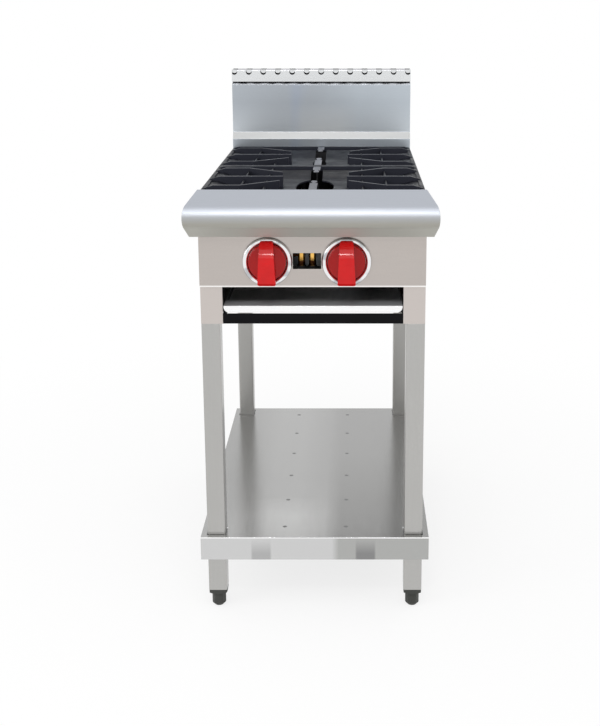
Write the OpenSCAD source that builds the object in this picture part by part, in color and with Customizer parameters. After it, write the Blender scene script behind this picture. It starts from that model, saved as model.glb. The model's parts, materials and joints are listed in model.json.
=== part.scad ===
/* [Body] */
// Width of the body across its side panels
body_w = 450; // [430:1:520]
// Depth from the front posts to the back panel
body_d = 745; // [735:1:820]
// Height of the cooking surface above the floor
cook_h = 900; // [870:1:950]
// Height of the body from its underside to the cooking surface
body_h = 273; // [268:1:290]
// Thickness of the body sheet
sheet_t = 1.2; // [0.9:0.1:1.5]
// Width of each front post
post_w = 44; // [41:1:50]
// Depth of the fold along the inner edge of each post
post_fold = 13; // [8:1:16]
// Width of the flange along the top of each side panel
side_flange = 14; // [10:1:18]
// Width of the flange along the rear edge of each side panel
rear_flange = 12; // [10:1:16]
// Drop from the cooking surface to the seat of the grates
grate_seat = 13; // [11:1:15]

/* [Lower frame] */
// Thickness of the lower frame plate
frame_t = 2; // [1.5:0.1:2.5]
// Height of the upright edge of the lower frame
frame_h = 21; // [18:1:22]
// Width of the lower frame at the front and the back
frame_w = 40; // [39:1:60]

/* [Stand] */
// Width of the square leg tube
leg_w = 38; // [36:1:39]
// Wall of the leg tube
leg_t = 1.5; // [1.2:0.1:2]
// Corner radius of the leg tube
leg_r = 3; // [2.5:0.1:4]
// Height of the leg sockets inside the tubes
socket_h = 40; // [32:1:60]
// Wall of the leg sockets
socket_t = 2; // [1.5:0.1:3]
// Clearance around a plug or a socket inside a leg tube
tube_fit = 0.2; // [0.1:0.05:0.4]
// Diameter of the leg bolts
leg_bolt_d = 8; // [6:1:10]
// Height of the top of the undershelf above the floor
shelf_top = 168; // [150:1:260]
// Height of the turned-down edge of the undershelf
shelf_lip = 50; // [40:1:60]
// Thickness of the undershelf sheet
shelf_t = 1.5; // [1:0.1:2]
// Overhang of the undershelf outside the legs
shelf_out = 13; // [12:1:16]
// Clearance between the undershelf and each leg
shelf_gap = 1.5; // [1:0.1:3]
// Width of the return under the edge of the undershelf
shelf_return = 9; // [6:1:10]
// Half spacing of the rows of spot welds on the undershelf
weld_row = 65; // [50:1:90]
// Number of spot welds in a row
weld_count = 6; // [4:1:9]
// Depth of the stiffener channel under the undershelf
stiffener_h = 22; // [16:1:30]

/* [Feet] */
// Height of the foot below the leg insert
foot_h = 30; // [26:1:36]
// Height of the collar of the leg insert
collar_h = 11; // [8:1:14]
// Depth of the plug of the leg insert
plug_h = 25; // [20:1:32]
// Diameter of the foot
foot_d = 29; // [26:1:32]
// Diameter of the sole of the foot
sole_d = 18; // [14:1:22]
// Height of the tapered end of the foot
foot_taper = 6; // [4:1:8]
// Diameter of the threaded stud of the foot
stud_d = 10; // [8:1:12]
// Length of the threaded stud of the foot
stud_l = 54; // [50:1:60]
// Running clearance of the stud in the insert
stud_fit = 0.05; // [0.02:0.01:0.1]

/* [Ledge] */
// Reach of the ledge nose in front of the posts
nose_out = 73; // [68:1:80]
// Radius of the ledge nose
nose_r = 27; // [22:1:30]
// Drop from the cooking surface to the centre of the nose
nose_drop = 46; // [40:1:50]
// Height of the ledge
ledge_h = 86; // [82:1:90]
// Distance of the lower edge of the ledge from the posts
ledge_edge = 43; // [38:1:48]
// Spread of each ledge end from the body to the nose
ledge_flare = 22; // [0:1:26]
// Thickness of the ledge sheet
ledge_t = 1.5; // [1.2:0.1:2]

/* [Control panel] */
// Distance of the panel face in front of the posts
panel_out = 8; // [6:0.5:10]
// Height of the control panel
panel_h = 107; // [100:1:108]
// Gap between the ledge and the top of the control panel
panel_gap = 2; // [1:0.5:4]
// Distance between the two knobs
knob_pitch = 157; // [150:1:170]
// Offset of the pair of knobs from the middle of the body
knob_offset = -11; // [-14:1:0]
// Drop from the cooking surface to the knobs
knob_drop = 143; // [141:1:145]
// Gap between the pilot window and each bezel
window_gap = 1; // [1:0.5:6]
// Height of the pilot window
window_h = 32; // [24:1:36]
// Height of the middle of the window above the knob axis
window_rise = 1; // [-3:1:4]

/* [Knobs] */
// Diameter of the knob disc
disc_d = 75; // [68:1:75]
// Thickness of the knob disc
disc_t = 7; // [5:0.5:8]
// Gap between the panel and the knob disc
disc_gap = 2; // [1:0.5:3]
// Outer diameter of the bezel
bezel_d = 99; // [92:1:104]
// Inner diameter of the bezel
bezel_bore = 76; // [76:1:82]
// Height of the bezel
bezel_h = 8; // [6:0.5:9]
// Length of the knob bar
bar_l = 88; // [84:1:93]
// Width of the knob bar at its upper end
bar_top_w = 27; // [22:1:30]
// Width of the knob bar at its lower end
bar_low_w = 36; // [30:1:40]
// Corner radius of the knob bar
bar_round = 4; // [2:0.5:6]
// Reach of the knob bar in front of the panel
bar_out = 36; // [30:1:40]
// Depth of the bezel clearance under the bar
bar_gap = 1; // [0.5:0.1:2]
// Diameter of the tap stem
stem_d = 8; // [6:0.5:9]
// Running clearance of the tap stem
stem_fit = 0.05; // [0.02:0.01:0.1]

/* [Drip tray] */
// Height of the front strip of the tray
tray_front_h = 14; // [12:1:18]
// Corner radius of the front strip
tray_front_r = 12; // [6:1:12]
// Depth of the flat strip behind the tray front
tray_strip = 48; // [36:1:60]
// Length of the tray
tray_l = 640; // [560:1:660]
// Thickness of the tray sheet
tray_t = 1.5; // [1:0.1:2]
// Clearance at each side of the tray
tray_side_gap = 1.5; // [1:0.1:3]
// Running clearance between the tray and its runners
tray_fit = 0.05; // [0.02:0.01:0.1]
// Thickness of the tray runners
runner_t = 2; // [1.5:0.1:2.5]
// Height of the upright leg of the tray runners
runner_h = 20; // [14:1:30]

/* [Grates] */
// Gap around each grate along the depth
grate_gap = 2; // [1:0.5:3]
// Gap at each side of the grates
grate_side_gap = 1; // [0.5:0.5:2]
// Thickness of the grate floor
grate_floor = 3; // [2.5:0.5:4]
// Width of the grate bars
bar_w = 9; // [7:0.5:11]
// Height of the front and rear bars above the seat
rim_h = 10; // [7:0.5:11]
// Height of the side rails above the seat
side_rail_h = 6; // [4:0.5:8]
// Width of the side rails
side_rail_w = 8; // [6:1:10]
// Distance from the middle of the body to the tips of the middle prongs
tip_x = 67; // [60:1:76]
// Distance from the middle of the body to the tips of the outer prongs
outer_tip_x = 71; // [60:1:80]
// Distance from the middle of the grate to the tips of the outer prongs
outer_tip_y = 58; // [50:1:64]
// Distance from the middle of the body to the bend of the outer prongs
bend_x = 147; // [130:1:160]
// Distance from the middle of the grate to the outer prongs
outer_y = 118; // [110:1:124]
// Width of the prongs
prong_w = 8; // [6:0.5:10]
// Length of the sloping end of the prongs
slope_l = 24; // [16:1:30]
// Width of the ribs that join the prongs
rib_w = 3; // [2:0.5:5]
// Height of the ribs above the seat
rib_h = 6; // [4:0.5:8]
// Distance between the two ribs of each side
rib_pitch = 49; // [40:1:60]
// Flat margin between the pan and the front and rear bars
pan_edge_y = 15; // [14:1:24]
// Flat margin between the pan and the outer faces of the side rails
pan_edge_x = 20; // [16:1:30]
// Depth of the pan below the seat
pan_h = 10; // [6:1:14]
// Length of the front and rear slopes of the pan
pan_slope_y = 37; // [20:1:50]
// Length of the side slopes of the pan
pan_slope_x = 44; // [20:1:60]
// Half width of the front burner opening
opening_x = 40; // [39:1:48]
// Half length of the front burner opening
opening_y = 95; // [60:1:104]
// Half width of the rear burner opening
rear_opening_x = 16; // [16:1:36]
// Half length of the rear burner opening
rear_opening_y = 60; // [40:1:104]
// Width of the centre slot
slot_w = 26; // [24:1:30]

/* [Burners] */
// Diameter of the burner cap
cap_d = 72; // [60:1:74]
// Height of the burner cap
cap_h = 16; // [12:1:20]
// Number of flame ports in the burner cap
port_count = 20; // [12:1:28]
// Diameter of the burner bowl
burner_d = 68; // [62:1:70]
// Height of the burner bowl
burner_h = 22; // [18:1:26]
// Height of the burner seat above the tap axis
burner_rise = 55; // [50:1:58]
// Outer diameter of the mixing tube
mixer_d = 30; // [28:1:31]
// Bore of the mixing tube
mixer_bore = 22; // [18:1:24]
// Diameter of the mouth of the mixing tube
mouth_d = 38; // [34:1:40]
// Distance from the posts to the mouth of the mixing tubes
mouth_y = 95; // [94:1:100]
// Width of the burner carrier
carrier_w = 40; // [36:1:44]
// Width of the light strips in the slot
strip_w = 16; // [14:1:18]
// Drop from the cooking surface to the light strips
strip_drop = 3; // [2:0.5:5]
// Width of the lobe at the end of each light strip
lobe_w = 12; // [10:0.5:13]
// Length of the lobe at the end of each light strip
lobe_l = 24; // [16:1:30]
// Width of the waist before the lobe
waist_w = 7; // [5:0.5:9]
// Length of the waist before the lobe
waist_l = 8; // [4:1:12]
// Distance from the middle of each burner to the light strip in front of it
strip_clear_front = 41; // [40:1:60]
// Distance from the middle of each burner to the light strip behind it
strip_clear_back = 75; // [50:1:90]

/* [Gas train] */
// Outer diameter of the manifold and inlet pipe
pipe_d = 26.7; // [24:0.1:28]
// Wall of the manifold and inlet pipe
pipe_t = 2.9; // [2:0.1:3.5]
// Distance from the posts to the manifold axis
manifold_y = 44; // [42:1:46]
// Drop from the tap axis to the manifold axis
manifold_drop = 35; // [34:1:38]
// Height of the manifold bosses above the manifold axis
boss_h = 16; // [15:1:18]
// Distance from the side of the body to the inlet pipe
inlet_edge = 30; // [28:1:35]
// Distance from the side of the body to the closed end of the manifold
manifold_edge = 60; // [50:1:70]
// Length of the inlet pipe behind the back panel
inlet_out = 30; // [24:1:40]
// Length of the inlet pipe between the back panel and its thread
inlet_shoulder = 4; // [2:0.5:6]
// Diameter of the tap body
tap_d = 24; // [20:1:28]
// Length of the tap body behind the panel
tap_l = 69; // [67:1:70]
// Distance between the two pilot valves
pilot_pitch = 22; // [20:1:26]
// Offset of the pair of pilot valves from the middle of the body
pilot_offset = -13; // [-16:1:-10]
// Height of the pilot valve above its boss
pilot_h = 26; // [22:1:28]
// Diameter of the pilot tubes
pilot_tube_d = 5; // [4:0.5:6]
// Distance from the middle of the body to the pilot burners
pilot_x = 48; // [46:1:54]

/* [Flue riser] */
// Height of the riser above the cooking surface
riser_h = 190; // [170:1:260]
// Depth of the riser from its foot to the back of the body
riser_d = 55; // [50:1:60]
// Height of the foot of the riser above the cooking surface
riser_foot_h = 16; // [10:1:20]
// Height of the bevel above the foot
bevel_h = 17; // [12:1:24]
// Step back of the main face from the foot
bevel_in = 9; // [6:1:12]
// Height of the cap lip
cap_lip_h = 30; // [26:1:40]
// Gap between the main face and the cap lip
cap_gap = 4; // [2:0.5:6]
// Height of the leaning fold along the top of the main face
fold_h = 4; // [3:0.5:6]
// Step back of the leaning fold
fold_in = 3; // [2:0.5:4]
// Depth of the flange behind the fold
fold_flange = 12; // [10:1:16]
// Step back of the side walls behind the cap lip
cap_step = 6; // [5:1:9]
// Distance of the cap lip in front of the main face
cap_lip_out = 3; // [1:0.5:5]
// Distance from the cap lip to the baffle behind the notches
baffle_gap = 4; // [3:0.5:5]
// Height of the baffle tongues above the bottoms of the notches
baffle_rise = 4; // [2:0.5:5]
// Number of vent notches
notch_count = 13; // [9:1:15]
// Width of a vent notch
notch_w = 14.5; // [10:0.5:16]
// Depth of a vent notch in the lip
notch_h = 13; // [12:1:20]
// Distance from the end of the cap to the middle of its first notch
notch_edge = 6.5; // [5:0.5:16]
// Wall left behind the notches
notch_back = 8; // [4:1:14]

/* [Hidden] */
$fn = 48;
eps = 0.01;

// The front posts lie at y = 0 inside place(), which centres the whole object on the origin
front_y = nose_out - (nose_out + body_d + inlet_out) / 2;
half_w = body_w / 2;
inner_w = half_w - sheet_t;
base_z = cook_h - body_h;
seat_z = cook_h - grate_seat;
riser_y = body_d - riser_d;
post_in = half_w - post_w;

leg_z = foot_h + collar_h;
leg_x = half_w - leg_w / 2;
leg_ys = [leg_w / 2, body_d - leg_w / 2];
tube_bore = leg_w - 2 * leg_t;
shelf_half = half_w + shelf_out;
shelf_len = body_d + 2 * shelf_out;
shelf_hole = leg_w + 2 * shelf_gap;
bolt_z = base_z - socket_h / 2;
bolt_fit = 0.1;
bolt_head_h = 5;
clip_t = 2;
clip_h = 30;
clip_w = 28;

ledge_z = cook_h - ledge_h;
panel_top = ledge_z - panel_gap;
panel_z = panel_top - panel_h;
knob_z = cook_h - knob_drop;
knob_xs = [knob_offset - knob_pitch / 2, knob_offset + knob_pitch / 2];
neck_d = 2 * stem_d;
window_w = knob_pitch - bezel_d - 2 * window_gap;

tray_z = base_z + frame_h + runner_t + tray_fit;
tray_half = post_in - tray_side_gap;
runner_in = 14;

grate_w = body_w - 2 * grate_side_gap;
grate_d = (riser_y - 3 * grate_gap) / 2;
grate_y0s = [grate_gap, 2 * grate_gap + grate_d];
burner_ys = [grate_y0s[0] + grate_d / 2, grate_y0s[1] + grate_d / 2];
rail_h = 21;
rail_w = 22;

pan_z = seat_z - pan_h - grate_floor;
burner_z = knob_z + burner_rise;
carrier_t = 2;
strip_top = cook_h - strip_drop;
strip_end = 4;
strip_post = 14;
manifold_z = knob_z - manifold_drop;
boss_z = manifold_z + boss_h;
inlet_x = half_w - inlet_edge;
elbow_l = 16;
thread_step = 0.7;
tap_y = tap_l - panel_out + sheet_t;
tap_nose = 8;
injector_l = 22;
pilot_xs = [pilot_offset - pilot_pitch / 2, pilot_offset + pilot_pitch / 2];
pilot_d = 14;
pilot_stem_d = 6;
pilot_nose = 10;

riser_top = cook_h + riser_h;
main_y = riser_y + bevel_in;
foot_top = cook_h + riser_foot_h;
bevel_top = foot_top + bevel_h;
lip_z = riser_top - cap_lip_h;
main_top = lip_z - cap_gap;
step_y = main_y + cap_step;
flange_y = main_y + fold_flange;
lip_y = main_y - cap_lip_out;
baffle_y = lip_y + sheet_t + baffle_gap;
notch_z = riser_top - notch_h + notch_w / 2;

steel = [0.74, 0.75, 0.76];
bright = [0.86, 0.87, 0.88];
dark = [0.16, 0.16, 0.18];
iron = [0.12, 0.12, 0.13];
brass = [0.80, 0.62, 0.25];
copper = [0.72, 0.42, 0.25];
red = [0.78, 0.08, 0.08];
plastic = [0.30, 0.31, 0.29];

module place() { translate([0, front_y, 0]) children(); }

// A box given by its lowest and highest corners
module box(low, high) {
  translate(low) cube(high - low);
}

module rod_y(x, z, y0, y1, d, n = $fn) {
  translate([x, y0, z]) rotate([-90, 0, 0]) cylinder(d = d, h = y1 - y0, $fn = n);
}

module rod_x(y, z, x0, x1, d) {
  translate([x0, y, z]) rotate([0, 90, 0]) cylinder(d = d, h = x1 - x0);
}

module rod_z(x, y, z0, z1, d, n = $fn) {
  translate([x, y, z0]) cylinder(d = d, h = z1 - z0, $fn = n);
}

module rounded_square(w, r) {
  square([w - 2 * r, w], center = true);
  square([w, w - 2 * r], center = true);
  for (x = [-1, 1], y = [-1, 1]) translate([x, y] * (w / 2 - r)) circle(r);
}

// Stretches a profile drawn in the side view (depth, height) across the width
module across(x0, x1) {
  translate([x0, 0, 0]) rotate([90, 0, 90]) linear_extrude(x1 - x0) children();
}

// Draws its children at the left, for side = -1, or at the right, for side = 1
module at_side(side) { mirror([side < 0 ? 1 : 0, 0, 0]) children(); }

module at_legs() {
  for (s = [-1, 1], y = leg_ys) translate([s * leg_x, y, 0]) children();
}

// Legs and their fittings

module leg(side, y) {
  color(steel) translate([side * leg_x, y, 0]) difference() {
    translate([0, 0, leg_z]) linear_extrude(base_z - leg_z) difference() {
      rounded_square(leg_w, leg_r);
      rounded_square(tube_bore, leg_r - leg_t);
    }
    rod_y(0, bolt_z, 0, leg_w, leg_bolt_d + bolt_fit);
  }
}

module leg_sockets() {
  w = tube_bore - 2 * tube_fit;
  color(dark) at_legs() difference() {
    translate([0, 0, base_z - socket_h]) linear_extrude(socket_h) difference() {
      rounded_square(w, leg_r - leg_t);
      square(w - 2 * socket_t, center = true);
    }
    rod_y(0, bolt_z, 0, leg_w, leg_bolt_d + bolt_fit);
  }
}

// One bolt through the rear face of each leg
module leg_bolts() {
  face = leg_w / 2;
  shank_in = tube_bore / 2 - socket_t - 4;
  color(steel) at_legs() {
    rod_y(0, bolt_z, shank_in, face, leg_bolt_d);
    rod_y(0, bolt_z, face, face + bolt_head_h, 1.7 * leg_bolt_d, 6);
  }
}

module leg_inserts() {
  bore = stud_d + 2 * stud_fit;
  color(plastic) at_legs() difference() {
    union() {
      intersection() {
        translate([0, 0, foot_h]) linear_extrude(collar_h) rounded_square(leg_w - 1, leg_r);
        rod_cone(foot_h, collar_h);
      }
      translate([0, 0, leg_z]) linear_extrude(plug_h)
        rounded_square(tube_bore - 2 * tube_fit, leg_r - leg_t);
    }
    rod_z(0, 0, foot_h - 1, leg_z + plug_h + 1, bore);
  }
}

// The cone that chamfers the lower corners of the insert collar
module rod_cone(z, h) {
  translate([0, 0, z]) cylinder(r1 = leg_w / 2 - 2, r2 = leg_w / 2 - 2 + 2 * h, h = h);
}

module foot(side, y) {
  color(plastic) translate([side * leg_x, y, 0]) {
    cylinder(d1 = sole_d, d2 = foot_d, h = foot_taper);
    intersection() {
      rod_z(0, 0, foot_taper, foot_h, foot_d);
      rod_z(0, 0, foot_taper, foot_h, foot_d * 1.09, 6);
    }
    rod_z(0, 0, foot_h, foot_h + stud_l, stud_d);
  }
}

// Undershelf

module undershelf() {
  low = shelf_top - shelf_lip;
  inner = shelf_half - shelf_t;
  color(bright) difference() {
    box([-shelf_half, -shelf_out, low], [shelf_half, shelf_len - shelf_out, shelf_top]);
    box([-inner, -shelf_out + shelf_t, low + shelf_t],
        [inner, shelf_len - shelf_out - shelf_t, shelf_top - shelf_t]);
    box([-inner + shelf_return, -shelf_out + shelf_t + shelf_return, low - 1],
        [inner - shelf_return, shelf_len - shelf_out - shelf_t - shelf_return, low + shelf_t + 1]);
    at_legs() translate([0, 0, shelf_top]) cube([shelf_hole, shelf_hole, 4 * shelf_t], center = true);
    for (s = [-1, 1], i = [0 : weld_count - 1])
      rod_z(s * weld_row, weld_y(i), shelf_top - 0.4, shelf_top + 1, 9);
  }
}

function weld_y(i) = leg_w + i * (body_d - 2 * leg_w) / (weld_count - 1);

module shelf_stiffener() {
  top = shelf_top - shelf_t;
  flange = 12;
  color(steel) translate([0, body_d - 4, 0]) rotate([90, 0, 0]) linear_extrude(body_d - 8) {
    for (s = [-1, 1]) {
      translate([s * weld_row, top - shelf_t / 2]) square([2 * flange, shelf_t], center = true);
      translate([s * (weld_row - flange + shelf_t / 2), top - stiffener_h / 2])
        square([shelf_t, stiffener_h], center = true);
    }
    translate([0, top - stiffener_h + shelf_t / 2])
      square([2 * (weld_row - flange + shelf_t), shelf_t], center = true);
  }
}

module shelf_clips() {
  top = shelf_top - shelf_t;
  face = leg_w / 2;
  color(steel) for (s = [-1, 1], y = leg_ys) translate([s * leg_x, y, 0]) at_side(-s) {
    box([face, -clip_w / 2, top - clip_h], [face + clip_t, clip_w / 2, top]);
    box([face + clip_t, -clip_w / 2, top - clip_t], [face + clip_w, clip_w / 2, top]);
  }
}

// Body

module base_frame() {
  color(dark) difference() {
    box([-inner_w, sheet_t, base_z], [inner_w, body_d - sheet_t, base_z + frame_h]);
    box([-inner_w + frame_t, sheet_t + frame_t, base_z + frame_t],
        [inner_w - frame_t, body_d - sheet_t - frame_t, base_z + frame_h + 1]);
    box([-post_in, sheet_t + frame_w, base_z - 1],
        [post_in, body_d - sheet_t - frame_w, base_z + 2 * frame_t]);
  }
}

module body_side(side) {
  color(steel) at_side(side) difference() {
    union() {
      box([inner_w, 0, base_z], [half_w, body_d, seat_z]);
      box([half_w - side_flange, sheet_t, seat_z - sheet_t], [inner_w, riser_y, seat_z]);
      box([post_in, 0, base_z], [inner_w, sheet_t, seat_z]);
      box([post_in, sheet_t, base_z + frame_h], [post_in + sheet_t, post_fold, seat_z - rail_h]);
      box([half_w - rear_flange - sheet_t, body_d - 2 * sheet_t, base_z + frame_h],
          [inner_w, body_d - sheet_t, seat_z]);
    }
    for (z = back_screw_zs) rod_y(back_screw_x, z, body_d - 3 * sheet_t, body_d, back_screw_d + bolt_fit);
  }
}

back_screw_d = 4;
back_screw_x = half_w - sheet_t - rear_flange / 2;
back_screw_zs = [for (t = [0.2, 0.5, 0.85]) base_z + t * (seat_z - base_z)];
riser_screw_xs = [-0.8, 0, 0.8] * half_w;
riser_screw_z = riser_top - 14;

module body_back() {
  louvre_w = 120;
  louvre_h = 6;
  louvre_pitch = 18;
  louvre_count = 4;
  louvre_low = base_z + 60;
  color(steel) difference() {
    box([-inner_w, body_d - sheet_t, base_z], [inner_w, body_d, seat_z]);
    rod_y(inlet_x, manifold_z, body_d - 5, body_d + 5, pipe_d + 3);
    for (s = [-1, 1], z = back_screw_zs)
      rod_y(s * back_screw_x, z, body_d - 5, body_d + 5, back_screw_d + bolt_fit);
    for (i = [0 : louvre_count - 1]) translate([0, 0, louvre_low + i * louvre_pitch])
      box([-louvre_w / 2, body_d - 5, 0], [louvre_w / 2, body_d + 5, louvre_h]);
  }
}

module body_screws() {
  color(bright) {
    for (s = [-1, 1], z = back_screw_zs) {
      rod_y(s * back_screw_x, z, body_d - 6, body_d, back_screw_d);
      rod_y(s * back_screw_x, z, body_d, body_d + 2.4, 2 * back_screw_d);
    }
    for (x = riser_screw_xs) {
      rod_y(x, riser_screw_z, body_d - 6, body_d, back_screw_d);
      rod_y(x, riser_screw_z, body_d, body_d + 2.4, 2 * back_screw_d);
    }
  }
}

// The rails carry the grates and tie the side panels together
module rail_web(y) {
  box([-inner_w, y, seat_z - rail_h], [inner_w, y + sheet_t, seat_z - sheet_t]);
}

module rail_top(y0, y1) {
  w = half_w - side_flange;
  box([-w, y0, seat_z - sheet_t], [w, y1, seat_z]);
}

module rail_front() {
  color(dark) {
    rail_top(sheet_t, sheet_t + rail_w);
    rail_web(rail_w);
    box([-post_in, 0, panel_top], [post_in, sheet_t, seat_z]);
  }
}

module rail_middle() {
  y = riser_y / 2;
  color(dark) {
    rail_top(y - rail_w / 2, y + rail_w / 2);
    rail_web(y - rail_w / 2);
    rail_web(y + rail_w / 2 - sheet_t);
  }
}

module rail_rear() {
  color(dark) {
    rail_top(riser_y - rail_w, riser_y);
    box([-inner_w, riser_y, seat_z - sheet_t], [inner_w, step_y, seat_z]);
    rail_web(riser_y - rail_w);
  }
}

// Ledge

function unit(v) = v / norm(v);
// Touching point of the line from p to the circle at c, on the side given by turn
function touch(p, c, r, turn) =
  let (d = p - c, a = turn * acos(r / norm(d)), u = unit(d))
  c + r * [u[0] * cos(a) - u[1] * sin(a), u[0] * sin(a) + u[1] * cos(a)];
function heading(v) = atan2(v[1], v[0]);

// Side view of the ledge, drawn inset by t from its outer face
module ledge_profile(t) {
  c = [-(nose_out - nose_r), cook_h - nose_drop];
  r = nose_r - t;
  back = [t > 0 ? eps : 0, cook_h - t];
  edge = [-ledge_edge, ledge_z + t];
  a0 = heading(touch(back, c, r, 1) - c);
  a1 = heading(touch(edge, c, r, -1) - c) + 360;
  steps = 20;
  polygon(concat(
    [back],
    [for (i = [0 : steps]) let (a = a0 + (a1 - a0) * i / steps) c + r * [cos(a), sin(a)]],
    [edge, [back[0], ledge_z + t]]
  ));
}

// Plan of the ledge, which spreads towards the nose, drawn inset by t at both ends
module ledge_plan(t) {
  w0 = half_w - t;
  w1 = half_w + ledge_flare - t;
  polygon([[-w0, 1], [w0, 1], [w0, 0], [w1, -nose_out - 1], [-w1, -nose_out - 1], [-w0, 0]]);
}

module ledge_block(t, end_t) {
  intersection() {
    across(-half_w - ledge_flare - 5, half_w + ledge_flare + 5) ledge_profile(t);
    translate([0, 0, ledge_z - 5]) linear_extrude(ledge_h + 10) ledge_plan(end_t);
  }
}

module front_ledge() {
  color(bright) difference() {
    ledge_block(0, 0);
    across(-half_w - ledge_flare - 9, half_w + ledge_flare + 9) ledge_profile(ledge_t);
  }
}

module ledge_end(side) {
  color(bright) intersection() {
    difference() {
      ledge_block(ledge_t, 0);
      translate([0, 0, ledge_z - 5]) linear_extrude(ledge_h + 10) ledge_plan(ledge_t);
    }
    at_side(side) box([0, -2 * nose_out, 0], [body_w, 0, cook_h]);
  }
}

// Control panel

module control_panel() {
  face = -panel_out;
  window_z = knob_z + window_rise;
  color(bright) difference() {
    box([-half_w, face, panel_z], [half_w, 0, panel_top]);
    box([-inner_w, face + sheet_t, panel_z + sheet_t], [inner_w, 1, panel_top - sheet_t]);
    for (x = knob_xs) rod_y(x, knob_z, face - 1, 1, neck_d);
    box([knob_offset - window_w / 2, face - 1, window_z - window_h / 2],
        [knob_offset + window_w / 2, face + 3, window_z + window_h / 2]);
  }
}

// Bezel and knob are drawn facing up and turned to face the front
module on_panel(x) {
  translate([x, -panel_out, knob_z]) rotate([90, 0, 0]) children();
}

module bezel(x) {
  r0 = bezel_bore / 2;
  r1 = bezel_d / 2;
  mid = (r0 + r1) / 2;
  color(bright) on_panel(x) rotate_extrude() polygon(concat(
    [[r0, 0], [r1, 0]],
    [for (a = [0 : 15 : 180]) [mid + (r1 - mid) * cos(a), 2 + (bezel_h - 2) * sin(a)]]
  ));
}

module knob(x) {
  disc_z = disc_gap + disc_t;
  color(red) on_panel(x) difference() {
    union() {
      translate([0, 0, disc_gap]) rotate_extrude() polygon([
        [0, 0], [disc_d / 2 - 1, 0], [disc_d / 2, 1], [disc_d / 2, disc_t - 2],
        [disc_d / 2 - 3, disc_t], [0, disc_t + 1]
      ]);
      intersection() {
        linear_extrude(bar_out + 5) bar_outline();
        across(-bar_low_w, bar_low_w) bar_side();
      }
    }
    knob_bore(disc_z + 12);
  }
}

// Front view of the knob bar, with round corners
module bar_outline() {
  r = bar_round;
  y = bar_l / 2 - r;
  top_x = bar_top_w / 2 - r;
  low_x = bar_low_w / 2 - r;
  corners = [[top_x, y, 0], [-top_x, y, 90], [-low_x, -y, 180], [low_x, -y, 270]];
  polygon([for (c = corners, a = [0 : 15 : 90]) [c[0], c[1]] + r * [cos(c[2] + a), sin(c[2] + a)]]);
}

// Side view of the knob bar: it arches from its upper end to a broad lower face
module bar_side() {
  top = bar_l / 2;
  low = bezel_h + bar_gap;
  polygon([
    [-top, low], [top, low], [top, low + 5], [top - 4, low + 9],
    [33, bar_out - 13], [26, bar_out - 8], [19, bar_out - 4.2],
    [12, bar_out - 1.7], [5, bar_out - 0.4], [-1, bar_out],
    [-14, bar_out - 1], [-top + 6, bar_out - 5], [-top, bar_out - 12]
  ]);
}

// The stem and the bore in the knob share one D shape
module knob_bore(h) {
  translate([0, 0, disc_gap - 1]) intersection() {
    cylinder(d = stem_d, h = h);
    box([-stem_d, -stem_d, 0], [stem_d, stem_d / 2 - 1, h]);
  }
}

module tap_stem(x) {
  tip = panel_out + disc_gap + disc_t + 11;
  inner = 22;
  color(brass) difference() {
    rod_y(x, knob_z, -tip, inner, stem_d);
    box([x - stem_d, -tip - 1, knob_z + stem_d / 2 - 1],
        [x + stem_d, -panel_out - disc_gap + 1, knob_z + stem_d]);
  }
}

// Gas train

module manifold_pipe() {
  end = half_w - manifold_edge;
  color(steel) difference() {
    union() {
      rod_x(manifold_y, manifold_z, -end, inlet_x - elbow_l, pipe_d);
      rod_x(manifold_y, manifold_z, -end - 12, -end + 8, pipe_d + 7);
      for (x = concat(knob_xs, pilot_xs)) rod_z(x, manifold_y, manifold_z, boss_z, 18);
    }
    rod_x(manifold_y, manifold_z, -end, inlet_x, pipe_d - 2 * pipe_t);
    for (x = knob_xs) rod_z(x, manifold_y, manifold_z, boss_z + 1, 8);
    for (x = pilot_xs) rod_z(x, manifold_y, manifold_z, boss_z + 1, 3);
  }
}

module gas_inlet_pipe() {
  bore = pipe_d - 2 * pipe_t;
  shoulder = body_d + inlet_shoulder;
  color(steel) difference() {
    union() {
      rod_y(inlet_x, manifold_z, manifold_y, shoulder, pipe_d);
      rod_y(inlet_x, manifold_z, shoulder, body_d + inlet_out, pipe_d - 2 * thread_step);
      translate([inlet_x, manifold_y, manifold_z]) sphere(d = pipe_d + 3);
      rod_x(manifold_y, manifold_z, inlet_x - elbow_l, inlet_x, pipe_d + 0.6);
    }
    rod_y(inlet_x, manifold_z, manifold_y, body_d + inlet_out + 1, bore);
    rod_x(manifold_y, manifold_z, inlet_x - elbow_l - 1, inlet_x, bore - 0.5);
  }
}

module gas_tap(x) {
  back = -panel_out + sheet_t;
  color(brass) difference() {
    union() {
      rod_y(x, knob_z, -panel_out, back, neck_d - 0.4);
      rod_y(x, knob_z, back, back + 10, tap_d, 6);
      rod_y(x, knob_z, back + 10, tap_y, tap_d);
      rod_y(x, knob_z, tap_y, tap_y + tap_nose, 16);
      rod_z(x, manifold_y, boss_z, knob_z, 16.5);
    }
    rod_y(x, knob_z, -panel_out - 1, 22.2, stem_d + 2 * stem_fit);
    rod_y(x, knob_z, tap_y - 12, tap_y + tap_nose + 1, 8);
    rod_z(x, manifold_y, boss_z - 1, knob_z - 6, 8);
  }
}

module injector(x) {
  y0 = tap_y + tap_nose;
  color(brass) difference() {
    union() {
      rod_y(x, knob_z, y0, y0 + 14, 16, 6);
      rod_y(x, knob_z, y0 + 14, y0 + injector_l, 9);
    }
    rod_y(x, knob_z, y0 - 1, y0 + injector_l - 3, 5);
    rod_y(x, knob_z, y0 + injector_l - 4, y0 + injector_l + 1, 2);
  }
}

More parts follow.
